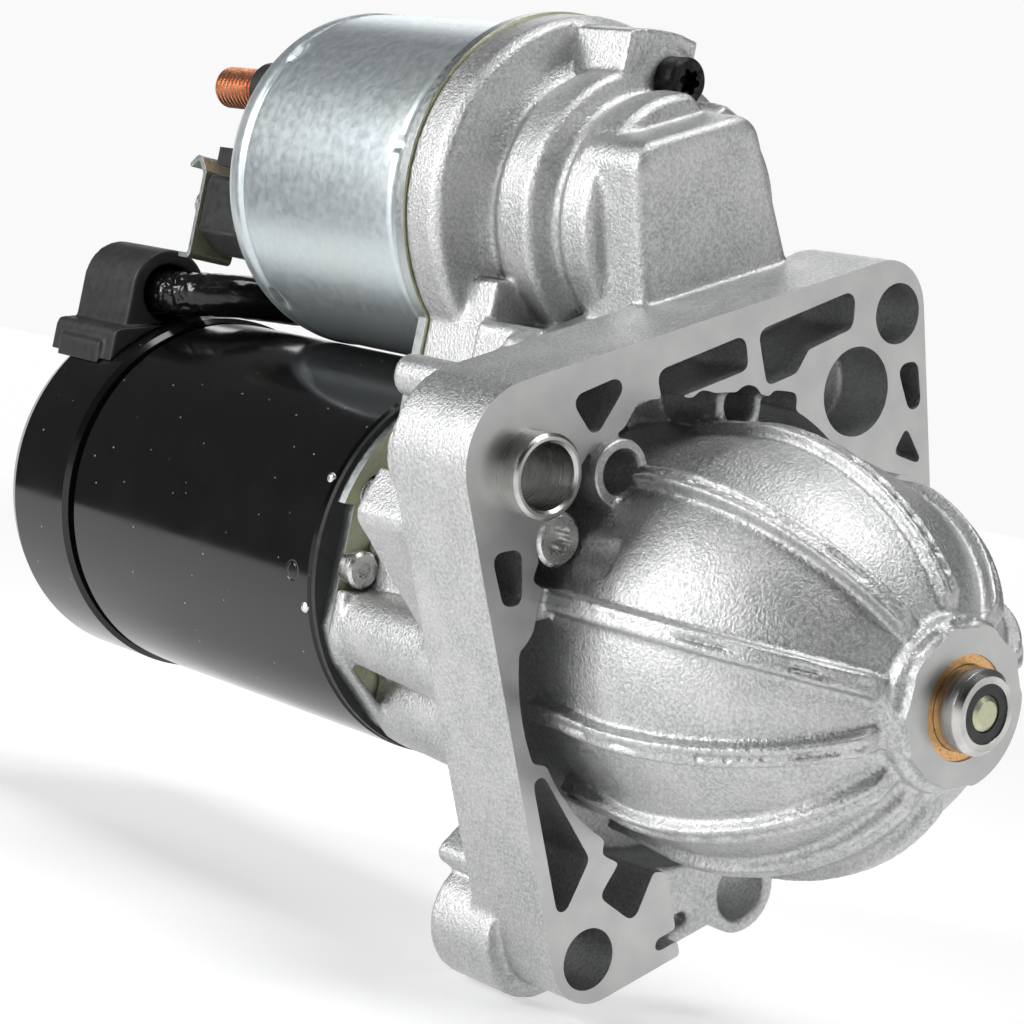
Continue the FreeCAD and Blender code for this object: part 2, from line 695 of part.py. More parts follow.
# ---- grommet and lead ---------------------------------------------------
def tangent_path(points):
    """Straight runs joined by tangent arcs, as large as their runs allow."""
    places = [Vector(*p) for p in points]
    edges = []
    start = places[0]
    for i in range(1, len(places) - 1):
        back = places[i - 1] - places[i]
        ahead = places[i + 1] - places[i]
        run = min(back.Length, ahead.Length)
        back.normalize()
        ahead.normalize()
        half = back.getAngle(ahead) / 2
        reach = 0.45 * run
        r = reach * tan(half)
        middle_line = back + ahead
        middle_line.normalize()
        centre = places[i] + middle_line * (r / sin(half))
        begin = places[i] + back * reach
        end = places[i] + ahead * reach
        edges.append(Part.LineSegment(start, begin).toShape())
        edges.append(Part.Arc(begin, centre - middle_line * r, end).toShape())
        start = end
    edges.append(Part.LineSegment(start, places[-1]).toShape())
    return Part.Wire(edges)


def motor_lead():
    path = tangent_path(lead_route)
    direction = Vector(*lead_route[1]) - Vector(*lead_route[0])
    profile = Part.Wire(Part.makeCircle(lead_r, Vector(*lead_route[0]), direction))
    return path.makePipeShell([profile], True, True)


def lead_lug():
    x, z = motor_stud_at
    eye = joined([rod(6.2, 133.4, 135.8, x, z), block(x - 4.0, x + 1.4, 133.4, 135.8, z - 9.4, z)])
    return eye.cut(rod(4.1, 130, 140, x, z)).cut(motor_lead())


def rubber_grommet():
    hood = prism([(grommet_x - 8.4, 24, 0), (grommet_x + 8.4, 24, 0), (grommet_x + 8.4, 37.2, 0),
                  (grommet_x + 8.4, 45.6, 8.3), (grommet_x - 8.4, 45.6, 8.3)], 149.5, 168.0)
    base = prism([(grommet_x - 11.6, 20, 1), (grommet_x + 9.6, 26, 1), (grommet_x + 9.6, 33.2, 1.5),
                  (grommet_x - 11.6, 28.2, 1.5)], 147.5, 169.5)
    tab = prism([(grommet_x - 12.2, 19, 1), (grommet_x - 4, 25, 1), (grommet_x - 4, 30, 1),
                 (grommet_x - 12.6, 25.0, 1)], 151.0, 166.0)
    body = joined([hood, base, tab])
    body = body.cut(rod(lead_r + 1.4, 140, 155.0, grommet_x, grommet_z))
    body = body.cut(rod(lead_r, 150, 157.0, grommet_x, grommet_z))
    return body.cut(rod(cover_r + 0.05, 130, 180)).cut(motor_lead())


# ---- solenoid -----------------------------------------------------------
def solenoid_case():
    r = solenoid_r
    front = plate_rear
    rear = solenoid_rear
    wall = solenoid_wall
    profile = [(plunger_r + 0.5, front), (r - 1.2, front), (r - 0.3, front + 1.0), (r + 0.1, front + 2.4),
               (r - 0.4, front + 4.4), (r, front + 5.6), (r, rear - 7.1), (r - 0.35, rear - 6.6),
               (r, rear - 6.1), (r + 0.2, rear - 5.4), (r + 0.2, rear - 4.5), (r, rear - 3.6),
               (r - 0.1, rear - 2.8), (r - 0.5, rear - 1.6), (r - 1.3, rear - 0.6), (r - 2.8, rear),
               (crimp_r, rear), (crimp_r, rear - 1.8), (r - wall, rear - 1.8), (r - wall, front + 2.2),
               (plunger_r + 0.5, front + 2.2)]
    case = spun(profile, solenoid_z)
    for x, z in solenoid_screw_places():
        case = case.cut(rod(2.5 + running_gap, 60, 68, x, z))
    return case


def coil_bobbin():
    y0 = plate_rear + 2.2
    r = case_room_r
    profile = [(plunger_r + 0.4, y0), (r, y0), (r, y0 + 1.2), (plunger_r + 1.6, y0 + 1.2),
               (plunger_r + 1.6, core_front + 4.8), (r, core_front + 4.8), (r, core_front + 6.0),
               (plunger_r + 0.4, core_front + 6.0)]
    bobbin = spun(profile, solenoid_z)
    for x, z in solenoid_screw_places():
        bobbin = bobbin.cut(rod(2.7, 60, 68, x, z))
    return bobbin


def solenoid_coil():
    y0 = plate_rear + 3.4
    wound = tube(27.5, plunger_r + 1.6, y0, core_front + 4.8, 0, solenoid_z)
    for x, z in solenoid_screw_places():
        wound = wound.cut(rod(2.7, 60, 68, x, z))
    return wound


def fixed_core():
    profile = [(2.8, core_front), (plunger_r - 0.2, core_front), (plunger_r - 0.2, core_front + 6.0),
               (case_room_r, core_front + 6.0), (case_room_r, core_front + 10.5), (2.8,
                                                                                   core_front + 10.5)]
    return spun(profile, solenoid_z)


def plunger():
    body = rod(plunger_r, plunger_front, plunger_rear, 0, solenoid_z)
    body = body.cut(rod(5.6, 66.0, plunger_rear + 1, 0, solenoid_z))
    return body.cut(rod(2.6, plunger_front - 1, plunger_front + 8, 0, solenoid_z))


def plunger_hook():
    """Rod with a window that takes the top of the fork lever."""
    hook_y = lever_y - tan(radians(lever_tilt)) * (solenoid_z - lever_z)
    stem = rod(2.6, hook_y + 3.0, plunger_front + 8, 0, solenoid_z)
    eye = block(-4.2, 4.2, hook_y - 4.2, hook_y + 5.4, solenoid_z - 3.4, solenoid_z + 3.4)
    window = block(-2.6, 2.6, hook_y - 2.3, hook_y + 2.3, solenoid_z - 4, solenoid_z + 4)
    return joined([stem, eye]).cut(window)


def return_spring():
    return coil(4.3, 0.55, 66.0, core_front, 9, 0, solenoid_z)


def contact_rod():
    return joined([rod(2.0, core_front + 1.0, 120.6, 0, solenoid_z),
                   rod(2.5, core_front + 1.0, core_front + 10.0, 0, solenoid_z)])


def contact_bridge():
    plate = prism([(-16.5, solenoid_z - 4.2, 2), (16.5, solenoid_z - 4.2, 2), (16.5, solenoid_z + 4.2, 2),
                   (-16.5, solenoid_z + 4.2, 2)], 117.0, 119.0)
    plate = turned(plate, -38, 0, solenoid_z)
    return plate.cut(rod(2.0, 110, 125, 0, solenoid_z))


def contact_spring():
    return coil(4.3, 0.55, core_front + 10.5, 117.0, 2.5, 0, solenoid_z)


def solenoid_cap():
    """Moulded cap held by the crimped rim, with the terminal block at its side."""
    y0 = core_front + 10.5
    profile = [(cap_room_r, y0), (case_room_r, y0), (case_room_r, solenoid_rear - 2.1),
               (crimp_r - 0.2, solenoid_rear - 2.0), (crimp_r - 0.2, 121.0), (22.6, cap_rear - 1.0),
               (21.4, cap_rear), (0, cap_rear), (0, cap_room_rear), (cap_room_r, cap_room_rear)]
    terminal_block = prism([(-25.2, 60.8, 1.5), (-12.0, 60.8, 1.0), (-12.0, 46.2, 1.0),
                            (-20.0, 46.2, 1.5),
                            (-25.2, 50.0, 1.5)], solenoid_rear + 0.6, block_rear)
    room = rod(cap_room_r, 100, cap_room_rear, 0, solenoid_z)
    tab = block(-28.6, -24.0, solenoid_rear + 0.8, 123.5, 62.2, 65.6)
    battery_boss = rod(5.4, 119.0, cap_rear, *battery_stud_at).cut(room)
    motor_boss = rod(6.6, cap_rear - 1, cap_rear + 1.6, *motor_stud_at)
    cap = joined([spun(profile, solenoid_z), terminal_block.cut(room), tab, battery_boss, motor_boss])
    for at in (battery_stud_at, motor_stud_at):
        cap = cap.cut(rod(3.9, cap_rear - 3.2, 140, *at))
    return cap.cut(rod(signal_stud_r, cap_rear - 6, 140, *signal_stud_at))


def heavy_stud(at, y0, y1):
    """M8 terminal stud with a contact head inside the cap."""
    x, z = at
    out = hypot(x, z - solenoid_z)
    pad = block(out - 10.0, out + 3.4, cap_room_rear - 2.6, cap_room_rear, -4.0, 4.0)
    pad.translate(Vector(0, 0, solenoid_z))
    pad = turned(pad, degrees(atan2(z - solenoid_z, x)), 0, solenoid_z)
    pad = pad.common(rod(cap_room_r - 0.3, 110, 130, 0, solenoid_z))
    neck = rod(3.9, cap_rear - 3.2, y0 + 0.1, x, z)
    thread = threaded(3.95, y0, y1, x, z, 1.25)
    tip = cone(3.2, 2.6, y1 - 0.01, y1 + 0.9, x, z)
    return joined([pad, neck, thread, tip])


def signal_stud():
    x, z = signal_stud_at
    return joined([rod(signal_stud_r, cap_rear - 6, block_rear + 0.1, x, z),
                   threaded(signal_stud_r, block_rear, 135.7, x, z, 1.0),
                   cone(2.4, 1.8, 135.69, 136.5, x, z)])


def spring_clip():
    """Bent flat spring with a foot, an arched leaf and a hole for the signal stud."""
    y = block_rear
    t = 0.9
    outline = [(y + 3.8, 44.3, 0.3), (y, 44.3, 1.2), (y, 60.9, 0.8), (y + 3.2, 64.4, 1.4),
               (y + 6.0, 62.0, 0.3), (y + 5.4, 61.3, 0.3), (y + 3.2, 63.1, 0.8), (y + t, 60.5, 0.8),
               (y + t, 45.2, 0.6), (y + 3.8, 45.2, 0.3)]
    strip = side_prism(outline, -25.9, -16.2)
    x, z = signal_stud_at
    return strip.cut(rod(signal_stud_r + 0.1, y - 5, y + 3, x, z))


def motor_stud_nut():
    x, z = motor_stud_at
    nut = hexagon(12.6, 136.2, 141.6, x, z).cut(rod(3.95, 100, 150, x, z))
    seat = tube(6.2, 3.95, cap_rear + 1.6, 133.2, x, z)
    return Part.makeCompound([nut, seat])


# ---- drive train --------------------------------------------------------
def output_shaft():
    """Shaft from the nose to the planet carrier."""
    tip = -60.2
    shaft = rod(shaft_r, tip, 41.0)
    rim = [edge for edge in shaft.Edges if abs(edge.BoundBox.YMax - tip) < 1e-6]
    shaft = shaft.makeChamfer(0.9, rim)
    carrier = rod(17.0, 40.6, 44.6)
    body = joined([shaft, carrier])
    body = body.cut(rod(4.6, tip - 1, tip + 1.2)).cut(rod(3.6, tip - 1, tip + 5.0))
    for i in range(planet_count):
        x, z = polar(planet_orbit(), 90 + i * 360 / planet_count)
        body = body.cut(rod(2.5, 40.0, 45.0, x, z))
    return body.cut(rod(4.1, 42.0, 45.0))


def shaft_end_ring():
    return tube(4.6, 2.9, -60.0, -59.0)


def centre_pin():
    return joined([rod(2.8, -59.8, -55.4), cone(2.0, 2.8, -60.3, -59.79)])


def stop_ring():
    rear = pinion_front - drive_travel - 1.0
    return tube(9.0, shaft_r, rear - 2.4, rear)


def planet_orbit():
    return gear_module * (sun_teeth + planet_teeth) / 2


def planet_pins():
    pins = []
    for i in range(planet_count):
        x, z = polar(planet_orbit(), 90 + i * 360 / planet_count)
        pins.append(rod(2.5, 40.7, 57.4, x, z))
    return Part.makeCompound(pins)


def planet_gear(index):
    """Planet placed so that its teeth fall between the sun's."""
    angle = 90 + index * 360 / planet_count
    ahead = (angle - sun_phase) * sun_teeth / planet_teeth
    phase = angle + 180 + 180.0 / planet_teeth + ahead
    body = gear(planet_teeth, gear_module, gear_front, gear_rear, 2.5 + running_gap, phase)
    x, z = polar(planet_orbit(), angle)
    body.translate(Vector(x, 0, z))
    return body


def sun_gear():
    return gear(sun_teeth, gear_module, gear_front - 0.6, gear_rear + 1.0, 3.8, sun_phase)


def ring_gear():
    """Fixed ring gear: a band less an outer-toothed cutter."""
    cutter_teeth = gear(ring_teeth, gear_module, gear_front - 2, gear_rear + 3, 0, ring_phase(),
                        addendum=1.2, dedendum=0.9, thick=0.60)
    band = rod(ring_band_r, gear_front - 0.8, gear_rear + 1.4)
    return band.cut(cutter_teeth)


def ring_phase():
    """The gap of the ring that meets the tooth of the first planet."""
    angle = 90.0
    planet_phase = angle + 180 + 180.0 / planet_teeth
    step = 360.0 / planet_teeth
    offset = (angle - planet_phase) % step
    return angle - offset * planet_teeth / ring_teeth


def pinion():
    teeth = gear(pinion_teeth, pinion_module, pinion_front, clutch_front - 0.4, 0, 18.0,
                 addendum=0.9, dedendum=1.1, thick=0.46)
    y = pinion_front
    bevel = joined([cone(12.2, 16.0, y, y + 3.4), rod(16.0, y + 3.4, clutch_front)])
    teeth = teeth.common(bevel)
    hub = rod(9.6, clutch_front - 2.0, clutch_front + 12.0)
    return joined([teeth, hub]).cut(rod(shaft_r + running_gap, y - 1, clutch_front + 13))


def clutch_body():
    profile = [(shaft_r + running_gap, clutch_front + 12.4), (9.7, clutch_front + 12.4),
               (9.7, clutch_front),
               (clutch_r - 1.6, clutch_front), (clutch_r, clutch_front + 1.6), (clutch_r,
                                                                                clutch_rear - 3.0),
               (clutch_r - 1.0, clutch_rear - 2.0), (clutch_r - 1.0, clutch_rear),
               (shaft_r + running_gap, clutch_rear)]
    return spun(profile)


def guide_ring():
    inner = shaft_r + running_gap
    half = 1.9
    rear = collar_y + half + 2.0
    profile = [(inner, clutch_rear), (17.0, clutch_rear), (17.0, collar_y - half),
               (13.4, collar_y - half),
               (13.4, collar_y + half), (17.0, collar_y + half), (17.0, rear), (inner, rear)]
    return spun(profile)


def fork_lever():
    """Fork lever, drawn upright and then tilted to its place at rest."""
    y, z = lever_y, lever_z
    reach = hypot(collar_y - lever_y, lever_z)
    top = hypot(lever_y - (lever_y - tan(radians(lever_tilt)) * (solenoid_z - z)), solenoid_z - z)
    tip = z - reach
    arm = side_prism([(y - 2.6, z - 4, 1), (y + 2.6, z - 4, 1), (y + 1.3, z + top + 2.4, 1.0),
                      (y - 1.3, z + top + 2.4, 1.0)], -2.2, 2.2)
    boss = Part.makeCylinder(5.0, 12, Vector(-6, y, z), Vector(1, 0, 0))
    yoke = side_prism([(y - 1.6, 22.6, 0.6), (y + 1.6, 22.6, 0.6), (y + 2.4, z - 1, 1),
                       (y - 2.4, z - 1, 1)],
                      -8.2, 8.2)
    arch = side_prism([(y - 1.4, 21.4, 0.6), (y + 1.4, 21.4, 0.6), (y + 1.4, 26.4, 0.6),
                       (y - 1.4, 26.4, 0.6)],
                      -21.0, 21.0)
    prongs = []
    for side in (-1, 1):
        x0, x1 = sorted((side * 18.6, side * 21.0))
        prongs.append(block(x0, x1, y - 1.4, y + 1.4, tip - 2.6, 26.4))
        prongs.append(Part.makeCylinder(1.5, 4.0, Vector(side * 18.9, y, tip), Vector(-side, 0, 0)))
    body = joined([arm, boss, yoke, arch] + prongs)
    body = body.cut(Part.makeCylinder(2.5 + running_gap, 20, Vector(-10, y, z), Vector(1, 0, 0)))
    body.rotate(Vector(0, y, z), Vector(1, 0, 0), lever_tilt)
    return body


def lever_pin():
    return Part.makeCylinder(2.5, 25, Vector(-12.5, lever_y, lever_z), Vector(1, 0, 0))


# ---- armature and brushes -----------------------------------------------
def armature_shaft():
    return joined([rod(3.8, 42.4, 58.6), rod(5.0, 57.4, 163.6)])


def slot_cutters(y0, y1):
    cutters = []
    for i in range(slot_count):
        angle = i * 360 / slot_count
        neck = block(armature_r - 2.0, armature_r + 1, y0, y1, -0.9, 0.9)
        hole = rod(2.3, y0, y1, armature_r - 4.2, 0)
        cutters.append(turned(neck.fuse(hole), angle))
    return cutters


def armature_core():
    core = tube(armature_r, 5.0, armature_front, armature_rear)
    for cutter in slot_cutters(armature_front - 1, armature_rear + 1):
        core = core.cut(cutter)
    return core


def armature_winding():
    bars = []
    for i in range(slot_count):
        x, z = polar(armature_r - 4.2, i * 360 / slot_count)
        bars.append(rod(2.1, armature_front - 1.0, armature_rear + 1.0, x, z))
    front = tube(armature_r - 1.4, 9.0, armature_front - 6.0, armature_front - 0.4)
    rear = spun([(9.0, armature_rear + 0.4), (armature_r - 1.4, armature_rear + 0.4),
                 (armature_r - 3.0, armature_rear + 5.0), (commutator_r + 1.5, armature_rear + 9.4),
                 (9.0, armature_rear + 9.4)])
    return joined([front, rear] + bars)


def commutator():
    drum = tube(commutator_r, 5.0, 126.0, 146.0).fuse(tube(commutator_r + 1.4, 5.0, 125.6, 128.0))
    for i in range(20):
        drum = drum.cut(turned(block(commutator_r - 0.7, commutator_r + 2, 125, 147, -0.3, 0.3), i * 18))
    return drum


def brush_holder():
    plate = tube(29.0, 14.4, 147.0, 149.0)
    boxes = []
    for i in range(4):
        box = block(14.6, 27.0, 131.0, 148.0, -5.4, 5.4).cut(block(13.0, 24.8, 132.4, 146.6, -4.1, 4.1))
        boxes.append(turned(box, 45 + i * 90))
    plate = joined([plate] + boxes)
    for angle in bolt_angles:
        plate = plate.cut(rod(bolt_r + 1.0, 120, 160, *polar(bolt_circle_r, angle)))
    return plate


def brushes():
    pieces = []
    for i in range(4):
        brick = block(12.0, 20.0, 132.7, 146.3, -3.9, 3.9).cut(rod(commutator_r + 0.15, 120, 150))
        pieces.append(turned(brick, 45 + i * 90))
    return Part.makeCompound(pieces)


def brush_springs():
    pieces = []
    for i in range(4):
        leaf = block(20.1, 24.7, 137.0, 142.0, -0.5, 0.5).fuse(block(20.1, 21.0, 136.0, 143.0, -3.0, 3.0))
        leaf = leaf.fuse(block(23.8, 24.7, 136.0, 143.0, -3.0, 3.0))
        pieces.append(turned(leaf, 45 + i * 90))
    return Part.makeCompound(pieces)


# ---- all parts ----------------------------------------------------------
os.makedirs("parts", exist_ok=True)

makers = {
    "drive_housing": drive_housing, "nose_bush": nose_bush, "dowel_bush": dowel_bush,
    "intermediate_plate": intermediate_plate, "motor_gasket": motor_gasket, "motor_body": motor_body,
    "pole_magnets": pole_magnets, "rear_cover": rear_cover, "rear_bush": rear_bush,
    "through_bolts": through_bolts, "plate_screw": plate_screw, "cross_screw": cross_screw,
    "solenoid_screws": solenoid_screws, "rubber_grommet": rubber_grommet, "motor_lead": motor_lead,
    "lead_lug": lead_lug, "solenoid_case": solenoid_case, "coil_bobbin": coil_bobbin,
    "solenoid_coil": solenoid_coil, "fixed_core": fixed_core, "plunger": plunger,
    "plunger_hook": plunger_hook, "return_spring": return_spring, "contact_rod": contact_rod,
    "contact_bridge": contact_bridge, "contact_spring": contact_spring, "solenoid_cap": solenoid_cap,
    "signal_stud": signal_stud, "spring_clip": spring_clip, "stud_nuts": motor_stud_nut,
    "output_shaft": output_shaft, "shaft_end_ring": shaft_end_ring, "centre_pin": centre_pin,
    "stop_ring": stop_ring, "planet_pins": planet_pins, "sun_gear": sun_gear, "ring_gear": ring_gear,
    "pinion": pinion, "clutch_body": clutch_body, "guide_ring": guide_ring, "fork_lever": fork_lever,
    "lever_pin": lever_pin, "armature_shaft": armature_shaft, "armature_core": armature_core,
    "armature_winding": armature_winding, "commutator": commutator, "brush_holder": brush_holder,
    "brushes": brushes, "brush_springs": brush_springs,
}

for name, maker in makers.items():
    save(name, maker())
save("battery_stud", heavy_stud(battery_stud_at, cap_rear + 0.3, 140.6))
save("motor_stud", heavy_stud(motor_stud_at, cap_rear + 1.7, 143.4))
for number in range(planet_count):
    save("planet_gear_%d" % (number + 1), planet_gear(number))
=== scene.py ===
import json
import math

import bmesh
import bpy
import numpy as np
from mathutils import Matrix, Vector, noise

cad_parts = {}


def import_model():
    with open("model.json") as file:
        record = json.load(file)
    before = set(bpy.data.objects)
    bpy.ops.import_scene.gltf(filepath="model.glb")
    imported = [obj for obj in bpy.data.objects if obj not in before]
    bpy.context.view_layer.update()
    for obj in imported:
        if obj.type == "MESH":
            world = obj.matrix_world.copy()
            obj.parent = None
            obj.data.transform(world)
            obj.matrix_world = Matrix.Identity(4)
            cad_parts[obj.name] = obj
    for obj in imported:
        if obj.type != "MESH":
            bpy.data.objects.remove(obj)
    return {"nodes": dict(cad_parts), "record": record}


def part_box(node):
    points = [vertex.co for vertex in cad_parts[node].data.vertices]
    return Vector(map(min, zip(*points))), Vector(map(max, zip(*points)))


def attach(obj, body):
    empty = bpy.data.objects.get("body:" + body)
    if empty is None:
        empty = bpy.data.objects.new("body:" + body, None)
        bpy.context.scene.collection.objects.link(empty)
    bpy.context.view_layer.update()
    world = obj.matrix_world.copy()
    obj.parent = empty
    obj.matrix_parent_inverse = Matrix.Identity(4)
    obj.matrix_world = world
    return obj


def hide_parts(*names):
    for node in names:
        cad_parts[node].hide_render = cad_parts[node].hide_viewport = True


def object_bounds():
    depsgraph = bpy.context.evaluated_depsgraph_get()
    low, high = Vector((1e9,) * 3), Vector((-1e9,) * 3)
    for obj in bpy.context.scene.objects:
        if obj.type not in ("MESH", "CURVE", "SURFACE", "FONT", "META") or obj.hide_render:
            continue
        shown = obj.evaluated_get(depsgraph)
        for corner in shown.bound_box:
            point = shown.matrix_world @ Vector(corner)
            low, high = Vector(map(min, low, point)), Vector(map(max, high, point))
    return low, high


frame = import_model()
cad_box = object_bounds()

# Starter motor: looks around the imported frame. Metres; the origin is on the shaft
# axis at the machined flange face, -Y towards the nose, +Z towards the solenoid.

MM = 0.001
nodes = frame["nodes"]


# ---- measures taken from the frame --------------------------------------
def middle(node):
    low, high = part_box(node)
    return (low + high) / 2


def width_of(node):
    low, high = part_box(node)
    return high.x - low.x


SOLENOID_Z = middle("solenoid_case").z
SOLENOID_R = width_of("solenoid_case") / 2
MOTOR_R = width_of("motor_body") / 2
MOTOR_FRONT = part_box("motor_body")[0].y
NOSE_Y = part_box("drive_housing")[0].y


def on_motor(angle, y, r=None):
    """Point of the motor's surface at an angle in degrees from +X towards +Z."""
    a = math.radians(angle)
    r = MOTOR_R if r is None else r
    return Vector((r * math.cos(a), y, r * math.sin(a)))


PUNCH_MARK = on_motor(-170.3, 68.2 * MM)
PUNCH_R = 1.5 * MM


# ---- node materials -----------------------------------------------------
class Surface:
    """A node material whose patterns are laid out in metres on the object."""

    def __init__(self, name, colour, metallic, roughness):
        self.material = bpy.data.materials.new(name)
        self.material.use_nodes = True
        self.tree = self.material.node_tree
        self.shader = self.tree.nodes["Principled BSDF"]
        self.shader.inputs["Base Color"].default_value = (*colour, 1)
        self.shader.inputs["Metallic"].default_value = metallic
        self.shader.inputs["Roughness"].default_value = roughness
        self.place = self.tree.nodes.new("ShaderNodeTexCoord").outputs["Object"]
        self.last_bump = None

    def join(self, value, socket):
        """Feeds a socket from another socket, or sets it to a plain value."""
        if isinstance(value, bpy.types.NodeSocket):
            self.tree.links.new(value, socket)
        else:
            socket.default_value = value

    def stretched(self, x, y, z):
        """Object coordinates scaled per axis, for grain that runs one way."""
        node = self.tree.nodes.new("ShaderNodeMapping")
        node.inputs["Scale"].default_value = (x, y, z)
        self.join(self.place, node.inputs["Vector"])
        return node.outputs["Vector"]

    def noise(self, size, detail=2.0, rough=0.5, vector=None, distortion=0.0):
        """Soft noise whose blobs are about size metres across."""
        node = self.tree.nodes.new("ShaderNodeTexNoise")
        node.inputs["Scale"].default_value = 1.0 / size
        node.inputs["Detail"].default_value = detail
        node.inputs["Roughness"].default_value = rough
        node.inputs["Distortion"].default_value = distortion
        self.join(vector or self.place, node.inputs["Vector"])
        return node.outputs["Fac"]

    def cells(self, size, vector=None):
        """Distance to the nearest of scattered points about size metres apart."""
        node = self.tree.nodes.new("ShaderNodeTexVoronoi")
        node.inputs["Scale"].default_value = 1.0 / size
        self.join(vector or self.place, node.inputs["Vector"])
        return node.outputs["Distance"]

    def ranged(self, value, low, high, to_low=0.0, to_high=1.0):
        """The value carried from low..high to to_low..to_high, and held at the ends."""
        node = self.tree.nodes.new("ShaderNodeMapRange")
        node.clamp = True
        for socket, v in zip(node.inputs, (value, low, high, to_low, to_high)):
            self.join(v, socket)
        return node.outputs["Result"]

    def math(self, kind, a, b=0.0):
        node = self.tree.nodes.new("ShaderNodeMath")
        node.operation = kind
        self.join(a, node.inputs[0])
        self.join(b, node.inputs[1])
        return node.outputs[0]

    def mixed(self, share, a, b):
        """Colour b laid over colour a by share."""
        node = self.tree.nodes.new("ShaderNodeMix")
        node.data_type = "RGBA"
        self.join(share, node.inputs[0])
        for value, socket in ((a, node.inputs[6]), (b, node.inputs[7])):
            self.join(value if isinstance(value, bpy.types.NodeSocket) else (*value, 1), socket)
        return node.outputs[2]

    def facing_y(self):
        """Y part of the surface's own normal."""
        split = self.tree.nodes.new("ShaderNodeSeparateXYZ")
        place = self.tree.nodes.new("ShaderNodeTexCoord")
        self.join(place.outputs["Normal"], split.inputs[0])
        return split.outputs["Y"]

    def distance(self, point):
        """Distance in metres from a point."""
        node = self.tree.nodes.new("ShaderNodeVectorMath")
        node.operation = "DISTANCE"
        self.join(self.place, node.inputs[0])
        node.inputs[1].default_value = point
        return node.outputs["Value"]

    def colour(self, value):
        self.join(value, self.shader.inputs["Base Color"])

    def rough(self, value):
        self.join(value, self.shader.inputs["Roughness"])

    def bump(self, height, strength, depth):
        """Adds relief; depth is in metres. Calls stack up."""
        node = self.tree.nodes.new("ShaderNodeBump")
        node.inputs["Strength"].default_value = strength
        node.inputs["Distance"].default_value = depth
        self.join(height, node.inputs["Height"])
        if self.last_bump is not None:
            self.join(self.last_bump, node.inputs["Normal"])
        self.last_bump = node.outputs["Normal"]
        self.join(self.last_bump, self.shader.inputs["Normal"])

    def soft_edges(self, radius):
        """Catches light along edges as a broken edge does."""
        node = self.tree.nodes.new("ShaderNodeBevel")
        node.samples = 4
        node.inputs["Radius"].default_value = radius
        self.last_bump = node.outputs["Normal"]
        self.join(self.last_bump, self.shader.inputs["Normal"])


def cast_aluminium():
    """Die-cast skin: pebbled grain with painted glints (pale colour on its raised points) and a few
    stains.
    """
    s = Surface("cast_aluminium", (0.46, 0.47, 0.47), 1.0, 0.42)
    grain_and_glints = s.noise(0.55 * MM, 3.0, 0.65)
    patch = s.noise(9 * MM, 3.0)
    stain = s.noise(22 * MM, 2.0, 0.6)
    base = s.mixed(s.ranged(patch, 0.35, 0.68), (0.40, 0.41, 0.41), (0.52, 0.525, 0.52))
    base = s.mixed(s.ranged(stain, 0.58, 0.76, 0.0, 0.35), base, (0.36, 0.36, 0.33))
    # Painted glints: the grain's raised points are coloured pale, standing in for sparkle on the blasted
    # skin; the grain itself is real relief.
    s.colour(s.mixed(s.ranged(grain_and_glints, 0.38, 0.62, 0.0, 0.65), base, (0.72, 0.72, 0.72)))
    s.rough(s.ranged(s.noise(0.7 * MM, 2.0), 0.3, 0.7, 0.36, 0.54))
    s.bump(s.noise(2.6 * MM, 2.0), 0.5, 0.14 * MM)
    s.bump(grain_and_glints, 1.0, 0.19 * MM)
    return s.material


def machined_aluminium():
    """Milled face with fine marks and a light haze."""
    s = Surface("machined_aluminium", (0.66, 0.665, 0.66), 1.0, 0.33)
    marks = s.noise(0.5 * MM, 2.0, 0.6, s.stretched(1, 1, 14))
    haze = s.noise(6 * MM, 3.0)
    s.colour(s.mixed(s.ranged(haze, 0.3, 0.7), (0.46, 0.465, 0.46), (0.54, 0.54, 0.53)))
    s.rough(s.ranged(marks, 0.3, 0.7, 0.27, 0.40))
    s.bump(marks, 0.30, 0.012 * MM)
    return s.material


def blue_zinc():
    """Blue zinc plating, bright but hazy, with a faint cloudy drift."""
    s = Surface("blue_zinc", (0.62, 0.68, 0.70), 0.85, 0.36)
    cloud = s.noise(1.6 * MM, 3.0, 0.6)
    drift = s.noise(16 * MM, 2.0)
    base = s.mixed(s.ranged(cloud, 0.35, 0.68), (0.57, 0.635, 0.655), (0.645, 0.70, 0.72))
    s.colour(s.mixed(s.ranged(drift, 0.45, 0.7, 0.0, 0.3), base, (0.62, 0.65, 0.60)))
    s.rough(s.ranged(cloud, 0.3, 0.7, 0.33, 0.42))
    s.bump(s.noise(0.9 * MM, 2.0), 0.10, 0.01 * MM)
    return s.material


def plated(name, dark, light, roughness=0.28):
    """Zinc or chromate plating on small parts."""
    s = Surface(name, light, 1.0, roughness)
    s.soft_edges(0.18 * MM)
    cloud = s.noise(1.2 * MM, 3.0, 0.6)
    s.colour(s.mixed(s.ranged(cloud, 0.35, 0.65), dark, light))
    s.rough(s.ranged(s.noise(0.5 * MM), 0.3, 0.7, roughness - 0.06, roughness + 0.1))
    s.bump(s.noise(0.35 * MM), 0.15, 0.01 * MM)
    return s.material


def turned_steel(name, colour, roughness=0.24):
    """Steel with fine turning rings."""
    s = Surface(name, colour, 1.0, roughness)
    s.soft_edges(0.15 * MM)
    rings = s.noise(0.35 * MM, 2.0, 0.6, s.stretched(0.04, 1, 0.04))
    film = s.noise(5 * MM, 2.0)
    dark = tuple(c * 0.72 for c in colour)
    s.colour(s.mixed(s.ranged(film, 0.35, 0.65), dark, colour))
    s.rough(s.ranged(rings, 0.3, 0.7, roughness - 0.07, roughness + 0.1))
    s.bump(rings, 0.25, 0.008 * MM)
    return s.material


